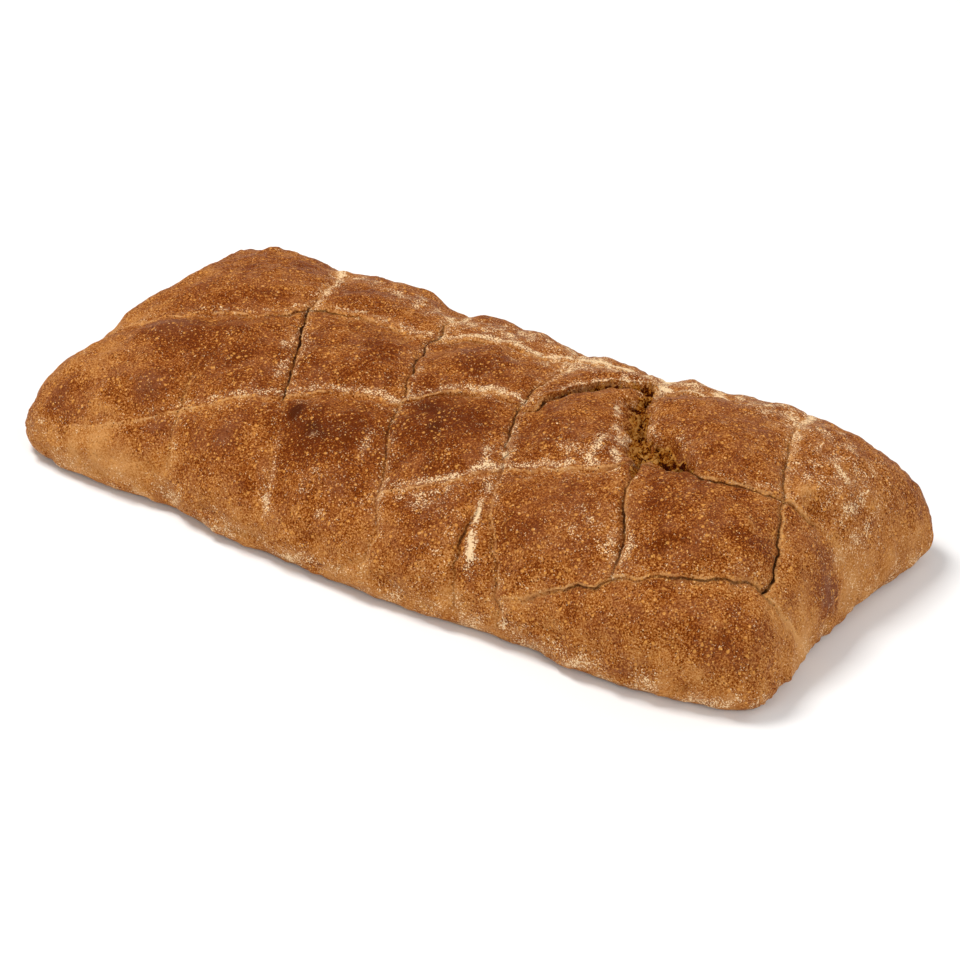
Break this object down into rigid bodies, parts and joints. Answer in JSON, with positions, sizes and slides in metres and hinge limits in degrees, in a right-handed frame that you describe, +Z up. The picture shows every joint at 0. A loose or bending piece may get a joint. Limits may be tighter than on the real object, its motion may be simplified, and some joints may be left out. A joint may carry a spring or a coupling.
{
  "type": "scored hearth loaf",
  "caption": "Low free-form slab loaf with a flat sole and a lattice of slanting cuts across its crust, baked as one piece.",
  "frame": {"origin": "on the plane of the flat sole, under the middle of the loaf's bounding box", "axes": "+X along the loaf towards its higher end, +Y across it towards the straighter long side, +Z up from the sole"},
  "size_m": [0.321, 0.154, 0.0572],
  "materials": {
    "crust": "dry baked crust, satin on the browned tops and matt with flour along the cuts"
  },
  "bodies": {
    "root": {"loaf": "crust"}
  },
  "joints": []
}
